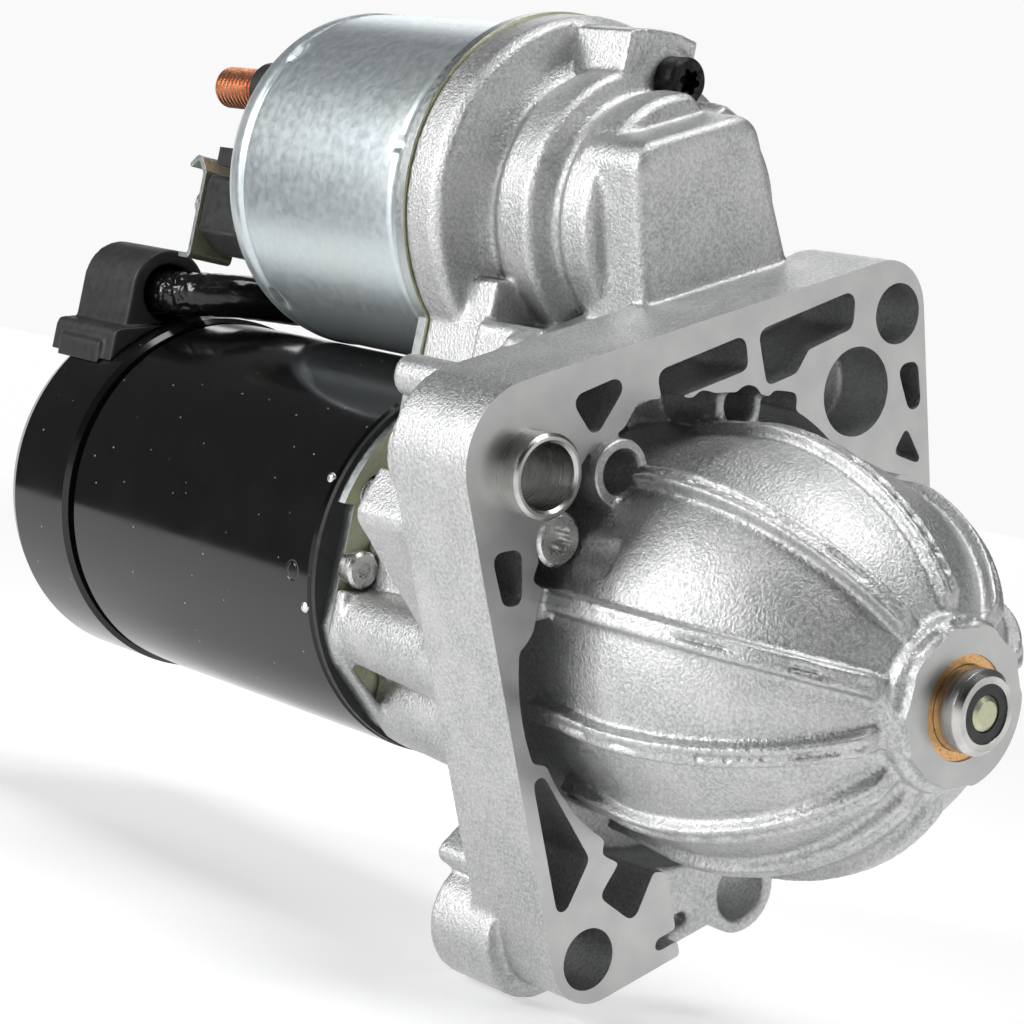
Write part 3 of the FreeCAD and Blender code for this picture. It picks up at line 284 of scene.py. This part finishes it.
def black_gloss():
    """Gloss paint with dust specks, short scratches and one punched ring mark."""
    s = Surface("black_gloss", (0.006, 0.006, 0.0065), 0.0, 0.13)
    speck_place = s.cells(2.6 * MM)
    picked = s.noise(7 * MM, 1.0)
    specks = s.math("MULTIPLY", s.ranged(speck_place, 0.045, 0.075, 1.0, 0.0),
                    s.ranged(picked, 0.48, 0.54))
    scratch = s.cells(9 * MM, vector=s.stretched(1, 5.5, 0.55))
    scratches = s.math("MULTIPLY", s.ranged(scratch, 0.022, 0.034, 1.0, 0.0),
                       s.ranged(s.noise(5 * MM), 0.52, 0.6))
    marks = s.math("MAXIMUM", specks, scratches)
    haze = s.ranged(s.noise(14 * MM, 3.0, 0.6), 0.5, 0.8, 0.0, 0.012)
    base = s.mixed(haze, (0.0055, 0.0055, 0.006), (0.35, 0.35, 0.34))
    s.colour(s.mixed(marks, base, (0.42, 0.42, 0.40)))
    off_ring = s.math("ABSOLUTE", s.math("SUBTRACT", s.distance(PUNCH_MARK), PUNCH_R))
    ring = s.ranged(off_ring, 0.15 * MM, 0.35 * MM, 1.0, 0.0)
    s.bump(ring, 0.8, -0.15 * MM)
    sheen = s.ranged(s.noise(11 * MM, 2.0), 0.3, 0.7, 0.11, 0.17)
    s.rough(s.math("ADD", sheen, s.math("MULTIPLY", marks, 0.4)))
    s.bump(s.noise(3.0 * MM, 2.0), 0.06, 0.02 * MM)
    return s.material


def moulded(name, colour, roughness, grain_and_glints=0.5, depth=0.02):
    """Rubber or plastic with a fine moulded skin and a little dust."""
    s = Surface(name, colour, 0.0, roughness)
    dust = s.ranged(s.noise(5 * MM, 4.0, 0.65), 0.55, 0.8, 0.0, 0.10)
    pale = tuple(min(1.0, c + 0.16) for c in colour)
    s.colour(s.mixed(dust, colour, pale))
    s.rough(s.ranged(s.noise(1.6 * MM, 3.0), 0.3, 0.7, roughness - 0.08, roughness + 0.1))
    s.bump(s.noise(grain_and_glints * MM, 3.0, 0.6), 0.35, depth * MM)
    return s.material


def copper():
    """Bare copper with a little tarnish."""
    s = Surface("bare_copper", (0.80, 0.36, 0.20), 1.0, 0.3)
    s.soft_edges(0.12 * MM)
    tarnish = s.noise(2.2 * MM, 3.0, 0.6)
    s.colour(s.mixed(s.ranged(tarnish, 0.35, 0.7), (0.86, 0.42, 0.25), (0.55, 0.21, 0.10)))
    s.rough(s.ranged(tarnish, 0.3, 0.7, 0.24, 0.42))
    return s.material


def chromate():
    """Yellow-green passivated zinc; the sheared edges, which face across Y, stay grey."""
    s = Surface("yellow_chromate", (0.62, 0.62, 0.46), 1.0, 0.36)
    s.soft_edges(0.2 * MM)
    drift = s.noise(7 * MM, 3.0, 0.6)
    fine = s.noise(0.8 * MM, 2.0)
    base = s.mixed(s.ranged(drift, 0.36, 0.64), (0.50, 0.51, 0.33), (0.58, 0.585, 0.44))
    base = s.mixed(s.ranged(fine, 0.5, 0.7, 0.0, 0.3), base, (0.40, 0.41, 0.28))
    facing = s.math("ABSOLUTE", s.facing_y())
    s.colour(s.mixed(s.ranged(facing, 0.55, 0.8), (0.50, 0.535, 0.53), base))
    s.rough(s.ranged(fine, 0.3, 0.7, 0.30, 0.46))
    s.bump(fine, 0.2, 0.01 * MM)
    return s.material


def sintered(name, dark, light):
    """Porous pressed metal."""
    s = Surface(name, light, 1.0, 0.38)
    s.soft_edges(0.12 * MM)
    pores = s.cells(0.35 * MM)
    s.colour(s.mixed(s.ranged(pores, 0.12, 0.4), dark, light))
    s.rough(s.ranged(pores, 0.1, 0.5, 0.5, 0.32))
    s.bump(s.ranged(pores, 0.1, 0.3), 0.3, 0.02 * MM)
    return s.material


def wound_wire():
    """Enamelled copper wire in close layers."""
    s = Surface("enamelled_wire", (0.45, 0.16, 0.06), 0.85, 0.3)
    turns = s.noise(0.6 * MM, 1.0, 0.5, s.stretched(0.05, 1, 0.05))
    s.colour(s.mixed(s.ranged(turns, 0.4, 0.6), (0.30, 0.09, 0.03), (0.58, 0.24, 0.09)))
    s.rough(s.ranged(turns, 0.3, 0.7, 0.22, 0.4))
    s.bump(turns, 0.7, 0.12 * MM)
    return s.material


cast = cast_aluminium()
machined = machined_aluminium()
zinc_can = blue_zinc()
gloss = black_gloss()
zinc_small = plated("zinc_fastener", (0.60, 0.61, 0.59), (0.78, 0.78, 0.75))
chromate_sheet = chromate()
steel = turned_steel("turned_steel", (0.63, 0.62, 0.60))
gear_metal = turned_steel("gear_steel", (0.40, 0.40, 0.41), 0.32)
black_fastener = plated("phosphated_fastener", (0.012, 0.012, 0.012), (0.04, 0.04, 0.04), 0.4)
bronze = sintered("sintered_bronze", (0.36, 0.20, 0.08), (0.74, 0.44, 0.20))
ferrite = sintered("ferrite", (0.04, 0.04, 0.045), (0.12, 0.12, 0.13))
brush_block = moulded("copper_graphite", (0.09, 0.065, 0.055), 0.55, 0.3, 0.03)
rubber = moulded("moulded_rubber", (0.022, 0.022, 0.023), 0.46, 0.45, 0.03)
gasket = moulded("gasket_rubber", (0.012, 0.012, 0.012), 0.4)
sleeve = moulded("lead_sleeve", (0.006, 0.006, 0.006), 0.16, 2.2, 0.05)
plastic = moulded("moulded_plastic", (0.020, 0.020, 0.021), 0.42, 0.4, 0.02)
copper_bar = copper()
wire = wound_wire()

BY_SLOT = {
    "cast_aluminium": cast, "bronze": bronze, "machined_steel": steel, "gear_steel": gear_metal,
    "laminated_steel": gear_metal, "spring_steel": steel, "chromated_steel": chromate_sheet,
    "zinc_screw": zinc_small, "zinc_case": zinc_can, "black_screw": black_fastener, "black_paint": gloss,
    "gasket_rubber": gasket, "black_rubber": rubber, "black_ring": gasket, "lead_sleeve": sleeve,
    "black_plastic": plastic, "copper": copper_bar, "copper_wire": wire, "magnet": ferrite,
    "carbon": brush_block,
}


def dress_nodes():
    """Every CAD node takes the material of its slot."""
    for part in frame["record"]["subparts"]:
        mesh = nodes[part["node"]].data
        mesh.materials.clear()
        mesh.materials.append(BY_SLOT[part["material_slot"]])


# ---- mesh helpers -------------------------------------------------------
def new_object(name, mesh, materials):
    """Object in the scene that carries the mesh with these materials."""
    piece = bpy.data.objects.new(name, mesh)
    bpy.context.scene.collection.objects.link(piece)
    for m in materials:
        mesh.materials.append(m)
    return piece


def shade(mesh, angle):
    """Smooth shading that breaks at edges sharper than angle degrees."""
    mesh.polygons.foreach_set("use_smooth", [True] * len(mesh.polygons))
    mesh.set_sharp_from_angle(angle=math.radians(angle))


def welded_copy(node):
    """The CAD node's mesh with its split vertices joined."""
    bm = bmesh.new()
    bm.from_mesh(nodes[node].data)
    bmesh.ops.remove_doubles(bm, verts=bm.verts, dist=1e-6)
    return bm


def vertex_array(mesh):
    co = np.empty(len(mesh.vertices) * 3)
    mesh.vertices.foreach_get("co", co)
    return co.reshape(-1, 3)


def voxel_mesh(mesh, voxel):
    """The mesh rebuilt as even quads."""
    piece = bpy.data.objects.new("voxel_source", mesh)
    bpy.context.scene.collection.objects.link(piece)
    remesh = piece.modifiers.new("remesh", "REMESH")
    remesh.mode = "VOXEL"
    remesh.voxel_size = voxel
    remesh.adaptivity = 0.0
    view = bpy.context.evaluated_depsgraph_get()
    made = bpy.data.meshes.new_from_object(piece.evaluated_get(view))
    bpy.data.objects.remove(piece)
    return made


def relax(mesh, rounds, factor=0.5):
    """Moves each vertex towards the mean of its neighbours; rounds the corners."""
    co = vertex_array(mesh)
    edges = np.empty(len(mesh.edges) * 2, int)
    mesh.edges.foreach_get("vertices", edges)
    a, b = edges[0::2], edges[1::2]
    count = np.bincount(a, minlength=len(co)) + np.bincount(b, minlength=len(co))
    for _ in range(rounds):
        total = np.zeros_like(co)
        for k in range(3):
            total[:, k] = np.bincount(a, co[b, k], len(co)) + np.bincount(b, co[a, k], len(co))
        co += factor * (total / count[:, None] - co)
    mesh.vertices.foreach_set("co", co.ravel())
    mesh.update()


# ---- the casting --------------------------------------------------------
VOXEL = 0.42 * MM
CAST_ROUNDS = 6
SPARE = 0.9 * MM             # metal left on the face before it is machined
OUTSIDE_DOME = 36.9 * MM     # the machined flange face lies beyond this radius
ON_PLANE = 0.01 * MM         # faces this near a plane count as on it


def casting():
    """The housing with cast fillets and crisp machined faces."""
    bm = welded_copy("drive_housing")
    on_face = set()
    for face in bm.faces:
        ys = [v.co.y for v in face.verts]
        if max(ys) < ON_PLANE and min(ys) > -ON_PLANE:
            on_face.update(face.verts)
        if max(ys) < NOSE_Y + ON_PLANE:
            on_face.update(face.verts)
    for v in on_face:
        if v.co.y < NOSE_Y / 2 or math.hypot(v.co.x, v.co.z) > OUTSIDE_DOME:
            v.co.y -= SPARE
    raw = bpy.data.meshes.new("casting_raw")
    bm.to_mesh(raw)
    bm.free()
    mesh = voxel_mesh(raw, VOXEL)
    relax(mesh, CAST_ROUNDS)
    bm = bmesh.new()
    bm.from_mesh(mesh)
    for plane_y, near in ((0.0, False), (NOSE_Y, True)):
        low, high = plane_y - 3 * SPARE, plane_y + 3 * SPARE
        band = [f for f in bm.faces if low < f.calc_center_median().y < high]
        geometry = band + list({e for f in band for e in f.edges})
        geometry += list({v for f in band for v in f.verts})
        bmesh.ops.bisect_plane(bm, geom=geometry, plane_co=(0, plane_y, 0), plane_no=(0, -1, 0), dist=1e-7)
        flat = [v for v in bm.verts if v.co.y < plane_y + 1e-7
                and (near or (v.co.y > low and math.hypot(v.co.x, v.co.z) > OUTSIDE_DOME))]
        for v in flat:
            v.co.y = plane_y
        bmesh.ops.remove_doubles(bm, verts=flat, dist=0.02 * MM)
        bmesh.ops.dissolve_degenerate(bm, edges=bm.edges, dist=0.005 * MM)
    for face in bm.faces:
        ys = [v.co.y for v in face.verts]
        for plane_y in (0.0, NOSE_Y):
            if max(ys) < plane_y + 1e-6 and min(ys) > plane_y - 1e-6:
                face.material_index = 1
    bm.to_mesh(mesh)
    bm.free()
    piece = new_object("casting", mesh, [cast, machined])
    shade(mesh, 40)
    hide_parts("drive_housing")
    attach(piece, "housing")


# ---- the pressed and moulded pieces -------------------------------------
def eased(points, rounds=2):
    """Open line of points with its corners cut, as a rolled edge has them."""
    for _ in range(rounds):
        made = [points[0]]
        for (r0, y0), (r1, y1) in zip(points, points[1:]):
            made.append((0.75 * r0 + 0.25 * r1, 0.75 * y0 + 0.25 * y1))
            made.append((0.25 * r0 + 0.75 * r1, 0.25 * y0 + 0.75 * y1))
        points = made + [points[-1]]
    return points


def filled_in(points, step):
    """The same line with no run longer than step."""
    made = [points[0]]
    for (r0, y0), (r1, y1) in zip(points, points[1:]):
        parts = max(1, math.ceil(math.hypot(r1 - r0, y1 - y0) / step))
        for k in range(1, parts + 1):
            made.append((r0 + (r1 - r0) * k / parts, y0 + (y1 - y0) * k / parts))
    return made


def lathe(name, points, segments, x, z, materials):
    """Closed profile in millimetres (radius, y) turned about an axis along Y."""
    co = []
    for i in range(segments):
        a = 2 * math.pi * i / segments
        for r, y in points:
            co.append((x + r * MM * math.cos(a), y * MM, z + r * MM * math.sin(a)))
    count = len(points)
    faces = []
    for i in range(segments):
        j = (i + 1) % segments
        for k in range(count):
            n = (k + 1) % count
            faces.append((i * count + k, i * count + n, j * count + n, j * count + k))
    mesh = bpy.data.meshes.new(name)
    mesh.from_pydata(co, [], faces)
    bm = bmesh.new()
    bm.from_mesh(mesh)
    bmesh.ops.recalc_face_normals(bm, faces=bm.faces)
    bm.to_mesh(mesh)
    bm.free()
    return new_object(name, mesh, materials)


STAKE_ANGLES = (51.0, 141.2, 236.5, 326.0)   # degrees about the can's axis
STAKE_Y = 110.6                              # millimetres
DIMPLE = (172.9, 66.9)                       # angle in degrees and y in millimetres
SHELL = 1.8                                  # thickness of the can in millimetres
ROLLED_IN = 4.7                              # how far the rear edge is rolled inwards
PLUNGER_OPENING_R = 9.5                      # opening of the can's front wall


def arc_from(angle, centre, r):
    """Length of arc from the centre angle, both in degrees, at radius r."""
    return ((angle - centre + 180) % 360 - 180) * math.pi / 180 * r


def solenoid_can():
    """Deep-drawn can with a rolled rear edge, four stakes and a dimple."""
    r = SOLENOID_R / MM - 0.2
    front, rear = (v.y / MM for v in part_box("solenoid_case"))
    outside = [(r - 1.2, front), (r - 0.3, front + 0.9), (r + 0.1, front + 2.4), (r - 0.45, front + 4.4),
               (r, front + 5.8), (r, rear - 7.3), (r - 0.35, rear - 6.6), (r, rear - 6.0),
               (r + 0.2, rear - 5.4), (r + 0.2, rear - 4.5), (r, rear - 3.6), (r - 0.1, rear - 2.8),
               (r - 0.5, rear - 1.6), (r - 1.3, rear - 0.6), (r - 2.8, rear), (r - ROLLED_IN, rear)]
    line = filled_in(eased(outside), 0.8)
    line += [(r - ROLLED_IN, rear - SHELL), (r - SHELL, rear - SHELL), (r - SHELL, front + 2.2),
             (PLUNGER_OPENING_R, front + 2.2), (PLUNGER_OPENING_R, front)]
    segments = 400
    piece = lathe("solenoid_can", line, segments, 0, SOLENOID_Z, [zinc_can])
    mesh = piece.data
    co = vertex_array(mesh)
    x, y, z = co[:, 0] / MM, co[:, 1] / MM, (co[:, 2] - SOLENOID_Z) / MM
    radius = np.hypot(x, z)
    angle = np.degrees(np.arctan2(z, x))
    skin = radius > r - 1.0
    sink = np.zeros(len(co))
    for stake in STAKE_ANGLES:
        along = arc_from(angle, stake, r)
        across = y - STAKE_Y
        sink += 0.75 * np.exp(-(along / 2.6) ** 4 - (across / 1.3) ** 2)
        sink -= 0.30 * np.exp(-(along / 3.6) ** 4 - ((across - 2.2) / 0.9) ** 2)
    along = arc_from(angle, DIMPLE[0], r)
    sink += 0.85 * np.exp(-(along / 1.25) ** 4 - ((y - DIMPLE[1]) / 1.25) ** 4)
    sink = np.minimum(sink, 1.2) * skin
    keep = np.clip((radius - sink) / np.maximum(radius, 1e-6), 0, 1)
    co[:, 0] *= keep
    co[:, 2] = SOLENOID_Z + (co[:, 2] - SOLENOID_Z) * keep
    mesh.vertices.foreach_set("co", co.ravel())
    shade(mesh, 40)
    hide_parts("solenoid_case")
    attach(piece, "housing")


def softened(node, name, voxel, rounds, material):
    """A moulded piece with its edges rounded."""
    bm = welded_copy(node)
    raw = bpy.data.meshes.new(name + "_raw")
    bm.to_mesh(raw)
    bm.free()
    mesh = voxel_mesh(raw, voxel * (1))
    relax(mesh, rounds)
    piece = new_object(name, mesh, [material])
    shade(mesh, 60)
    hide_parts(node)
    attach(piece, "housing")
    return piece


CREASE_Y = 146.0             # millimetres; the sleeve leaves the grommet here
CREASE_REACH = 6.5


def creased_lead():
    """Shrink sleeve over the braid: creased where it leaves the grommet."""
    piece = softened("motor_lead", "lead_sleeving", 0.35 * MM, 5, sleeve)
    mesh = piece.data
    co = vertex_array(mesh)
    normals = np.empty(len(mesh.vertices) * 3)
    mesh.vertices.foreach_get("normal", normals)
    normals = normals.reshape(-1, 3)
    for i in range(len(co)):
        place = Vector(co[i]) / MM
        near_grommet = math.exp(-((place.y - CREASE_Y) / CREASE_REACH) ** 2)
        wrinkle = noise.noise(Vector((place.x * 0.35, place.y * 0.5, place.z * 0.9)))
        fold = abs(noise.noise(Vector((place.x * 0.25, place.y * 0.9, place.z * 0.4 + 7.0))))
        depth = 0.12 + 0.55 * near_grommet
        co[i] -= normals[i] * MM * (depth * max(0.0, wrinkle) + 0.5 * near_grommet * (0.35 - fold))
    mesh.vertices.foreach_set("co", co.ravel())
    mesh.update()


STUB_AT = (-27.5 * MM, 23.2 * MM)


def stub_ring():
    """Turned end of the tube boss beside the dome."""
    line = [(5.35, 9.0), (5.35, -1.7), (5.1, -2.0), (4.0, -2.0), (3.75, -1.75), (3.65, -1.4), (3.65, 9.0)]
    piece = lathe("stub_ring", filled_in(line, 1.0), 96, *STUB_AT, [cast])
    shade(piece.data, 30)
    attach(piece, "housing")


NUB_ANGLES = (-160.6, 160.9)


def motor_nubs():
    """Small bare weld nubs at the motor's front edge."""
    bm = bmesh.new()
    for angle in NUB_ANGLES:
        place = on_motor(angle, MOTOR_FRONT + 1.9 * MM, MOTOR_R - 0.35 * MM)
        made = bmesh.ops.create_icosphere(bm, subdivisions=3, radius=1.0 * MM)
        for v in made["verts"]:
            wobble = 1 + 0.12 * noise.noise(v.co / MM * 1.4 + Vector((angle, 0, 0)))
            v.co = Vector((v.co.x * 0.7, v.co.y * 1.1, v.co.z * 1.2)) * wobble + place
    mesh = bpy.data.meshes.new("motor_nubs")
    bm.to_mesh(mesh)
    bm.free()
    piece = new_object("motor_nubs", mesh, [zinc_small])
    shade(mesh, 60)
    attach(piece, "housing")


# ---- studio -------------------------------------------------------------
FLOOR_Z = cad_box[0][2] - 0.5 * MM
FLOOR_R = 6.0
FADE = (0.30, 1.1)           # metres from the middle over which the floor turns into a glowing sweep


def floor():
    """Pale floor that glows more and more outwards, so no horizon shows."""
    bpy.ops.mesh.primitive_circle_add(vertices=96, radius=FLOOR_R, fill_type="NGON",
                                      location=(0, 0, FLOOR_Z))
    plane = bpy.context.object
    plane.name = "floor"
    s = Surface("pale_floor", (0.82, 0.82, 0.82), 0.0, 0.6)
    s.shader.inputs["Emission Color"].default_value = (1, 1, 1, 1)
    away = s.distance((0.0, 0.0, FLOOR_Z))
    s.join(s.ranged(away, *FADE, 0.38, 0.95), s.shader.inputs["Emission Strength"])
    s.colour(s.mixed(s.ranged(away, *FADE), (0.82, 0.82, 0.82), (0.0, 0.0, 0.0)))
    plane.data.materials.append(s.material)


FLAG_X = -0.150
FLAG_Y = (0.195, 0.80)
FLAG_TOP = 0.60


def flag():
    """Dark card that stands on the floor beside the motor, seen only in mirroring surfaces."""
    corners = [(FLAG_X, y, z) for z in (FLOOR_Z, FLAG_TOP) for y in FLAG_Y]
    mesh = bpy.data.meshes.new("flag")
    mesh.from_pydata(corners, [], [(0, 1, 3, 2)])
    s = Surface("flag_cloth", (0.07, 0.07, 0.072), 0.0, 0.9)
    weave = s.noise(3 * MM, 2.0)
    s.colour(s.mixed(weave, (0.06, 0.06, 0.062), (0.08, 0.08, 0.082)))
    card = new_object("flag", mesh, [s.material])
    card.visible_camera = False
    card.visible_shadow = False
    card.visible_diffuse = False


def area_light(name, place, target, size, power):
    """Rectangular soft light at place, aimed at target; size in metres and power in watts."""
    data = bpy.data.lights.new(name, "AREA")
    data.shape = "RECTANGLE"
    data.size, data.size_y = size
    data.energy = power
    light = bpy.data.objects.new(name, data)
    bpy.context.scene.collection.objects.link(light)
    light.location = place
    light.rotation_euler = (Vector(target) - Vector(place)).to_track_quat("-Z", "Y").to_euler()


def world():
    """White sweep up to a low horizon, dark above it and dim on the open side."""
    made = bpy.data.worlds.new("studio")
    made.use_nodes = True
    tree = made.node_tree
    back = tree.nodes["Background"]
    place = tree.nodes.new("ShaderNodeTexCoord")
    split = tree.nodes.new("ShaderNodeSeparateXYZ")
    ramp = tree.nodes.new("ShaderNodeValToRGB")
    tree.links.new(place.outputs["Generated"], split.inputs[0])
    tree.links.new(split.outputs["Z"], ramp.inputs[0])
    stops = ramp.color_ramp.elements
    stops[0].position, stops[0].color = 0.16, (0.95, 0.95, 0.95, 1)
    stops[1].position, stops[1].color = 0.26, (0.10, 0.10, 0.105, 1)
    tree.links.new(ramp.outputs[0], back.inputs["Color"])
    towards = tree.nodes.new("ShaderNodeVectorMath")
    towards.operation = "DOT_PRODUCT"
    tree.links.new(place.outputs["Generated"], towards.inputs[0])
    towards.inputs[1].default_value = (-0.707, -0.707, 0.0)
    dim = tree.nodes.new("ShaderNodeMapRange")
    tree.links.new(towards.outputs["Value"], dim.inputs["Value"])
    for name, value in (("From Min", 0.35), ("From Max", 0.9), ("To Min", 1.0), ("To Max", 0.3)):
        dim.inputs[name].default_value = value
    tree.links.new(dim.outputs["Result"], back.inputs["Strength"])
    bpy.context.scene.world = made


CAMERA_AT = (-0.33923, -0.33953, 0.03299)
CAMERA_TURN = (49.215, -2.392, 11.765)       # yaw, pitch and roll in degrees
CAMERA_LENS = 103.857


def camera():
    """Camera at the front left, nearly level and rolled to its right."""
    yaw, pitch, roll = (math.radians(a) for a in CAMERA_TURN)
    look = Vector((math.cos(pitch) * math.cos(yaw), math.cos(pitch) * math.sin(yaw), math.sin(pitch)))
    level = look.cross(Vector((0, 0, 1))).normalized()
    up = level.cross(look)
    right = level * math.cos(roll) + up * math.sin(roll)
    up = right.cross(look)
    data = bpy.data.cameras.new("camera")
    data.sensor_width = 36
    data.lens = CAMERA_LENS
    data.clip_start = 0.01
    made = bpy.data.objects.new("camera", data)
    bpy.context.scene.collection.objects.link(made)
    turn = Matrix((right, up, -look)).transposed().to_4x4()
    made.matrix_world = Matrix.Translation(CAMERA_AT) @ turn
    bpy.context.scene.camera = made


# name, place, target, size in metres, power in watts
LIGHTS = (
    ("overhead", (0.0, -0.1, 0.9), (0, 0.02, 0.03), (0.5, 0.5), 5),
    ("left_box", (-0.95, 0.5, 0.35), (0, 0.05, 0.02), (0.45, 0.5), 8),
    ("right_box", (0.45, -1.0, 0.6), (0, 0.0, 0.02), (0.35, 0.35), 1.5),
    ("back_box", (0.6, 0.75, 0.55), (0, 0.0, 0.03), (0.6, 0.4), 1.5),
)


def studio():
    floor()
    flag()
    world()
    camera()
    for light in LIGHTS:
        area_light(*light)
    bpy.context.scene.view_settings.view_transform = "Standard"


dress_nodes()
casting()
solenoid_can()
softened("rubber_grommet", "grommet", 0.3 * MM, 5, rubber)
creased_lead()
stub_ring()
motor_nubs()
studio()
